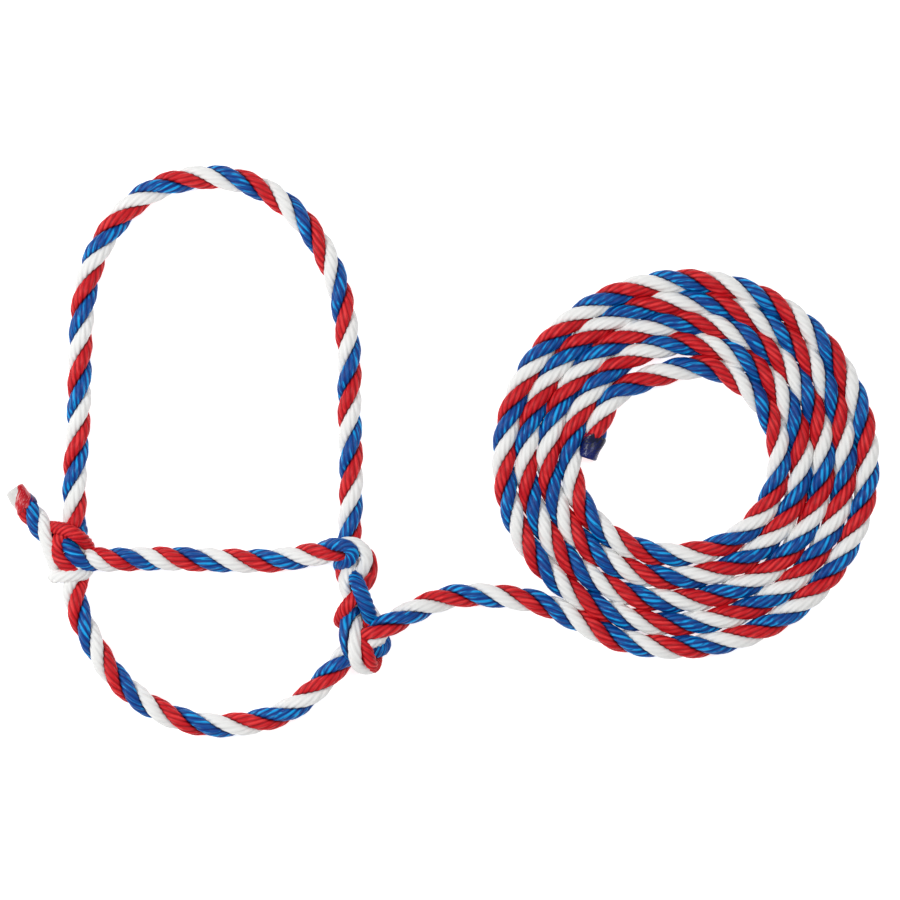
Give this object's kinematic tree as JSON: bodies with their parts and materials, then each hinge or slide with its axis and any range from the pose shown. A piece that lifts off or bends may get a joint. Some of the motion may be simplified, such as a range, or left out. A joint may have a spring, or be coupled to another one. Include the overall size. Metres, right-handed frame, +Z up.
{
  "type": "rope halter",
  "caption": "Livestock halter made of one laid three-strand rope: nose band, crown and chin rope, a lead eye at the cheek, and a coiled lead with heat-sealed ends.",
  "frame": {"origin": "centre of the halter's own bounding box (without the lead), on the surface it lies on", "axes": "+Z up from the surface; +Y from the chin rope to the crown; +X from the tail at the left cheek to the lead at the right cheek"},
  "size_m": [0.4714, 0.3094, 0.0238],
  "materials": {
    "rope": "three laid strands of polypropylene filament, one red, one white and one blue, with a soft sheen",
    "sealed_end": "melted and re-set polypropylene, glossy and streaked red, white and blue"
  },
  "bodies": {
    "halter": {"tail_tip": "sealed_end", "tail": "rope", "nose_band": "rope", "eye_left_leg": "rope", "eye_right_leg": "rope", "chin_rope": "rope"},
    "crown": {"crown_left_cheek": "rope", "crown_poll": "rope", "crown_right_cheek": "rope"},
    "lead": {"lead_rope": "rope", "lead_coil": "rope", "lead_inner_end": "rope", "lead_tip": "sealed_end"}
  },
  "joints": [
    {"name": "crown_fold", "type": "hinge", "parent": "halter", "child": "crown", "pos_m": [0.0027, -0.0552, 0.0065], "axis": [0.9996, 0.027, 0], "range_deg": [0, 100]},
    {"name": "lead_swing", "type": "hinge", "parent": "halter", "child": "lead", "pos_m": [0.1112, -0.08645, 0.01225], "axis": [0, 0, 1], "range_deg": [-90, 25]}
  ]
}
